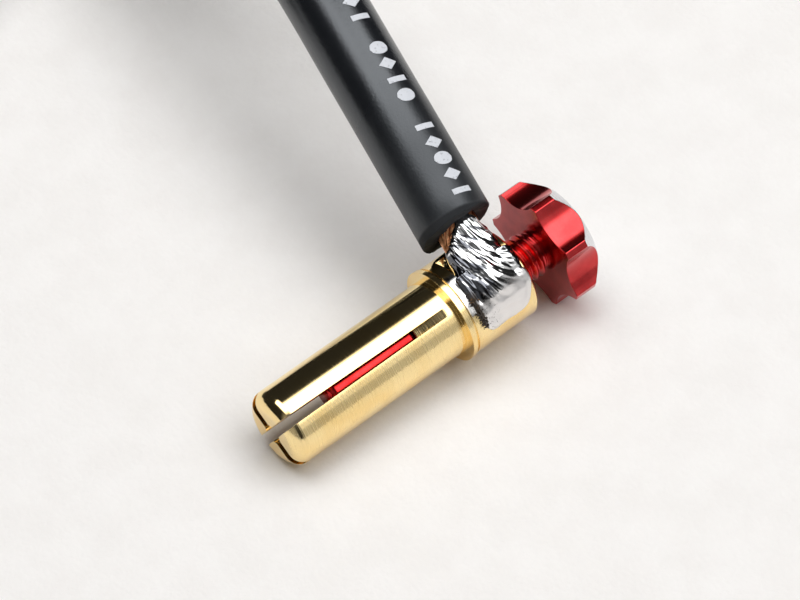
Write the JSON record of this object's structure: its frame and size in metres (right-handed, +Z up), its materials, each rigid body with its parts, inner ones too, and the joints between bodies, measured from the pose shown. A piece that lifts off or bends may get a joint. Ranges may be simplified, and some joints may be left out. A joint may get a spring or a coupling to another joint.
{
  "type": "bullet plug battery lead",
  "caption": "Gold-plated split bullet plug with a threaded thumb screw in its bore, soldered square across a black silicone battery lead.",
  "frame": {"origin": "middle of the plug's own box, on the ground, without the lead, its hank, tie and tinned end", "axes": "+X along the plug on the ground, from the split tip to the thumb knob; +Y towards the lead; +Z up"},
  "size_m": [0.0362, 0.1276, 0.0132],
  "materials": {
    "gold_plate": "polished gold plate on turned brass",
    "red_anodised": "red anodised, back face machined bare",
    "copper": "bare stranded copper",
    "solder": "bright solder, duller at its edge",
    "black_silicone": "semi-matt silicone",
    "tinned_copper": "tinned strands",
    "tie_strap": "plain strap"
  },
  "bodies": {
    "plug": {"plug_body": "gold_plate", "copper_strands": "copper", "solder_joint": "solder", "lead_jacket": "black_silicone", "lead_hank": "black_silicone", "tinned_end": "tinned_copper", "hank_tie": "tie_strap"},
    "thumb_screw": {"thumb_knob": "red_anodised"}
  },
  "joints": [
    {"name": "knob_turn", "type": "hinge", "parent": "plug", "child": "thumb_screw", "pos_m": [0.01, 0, 0.00371], "axis": [0.9982, 0, 0.0594], "range_deg": [-1548, 1620]}
  ]
}
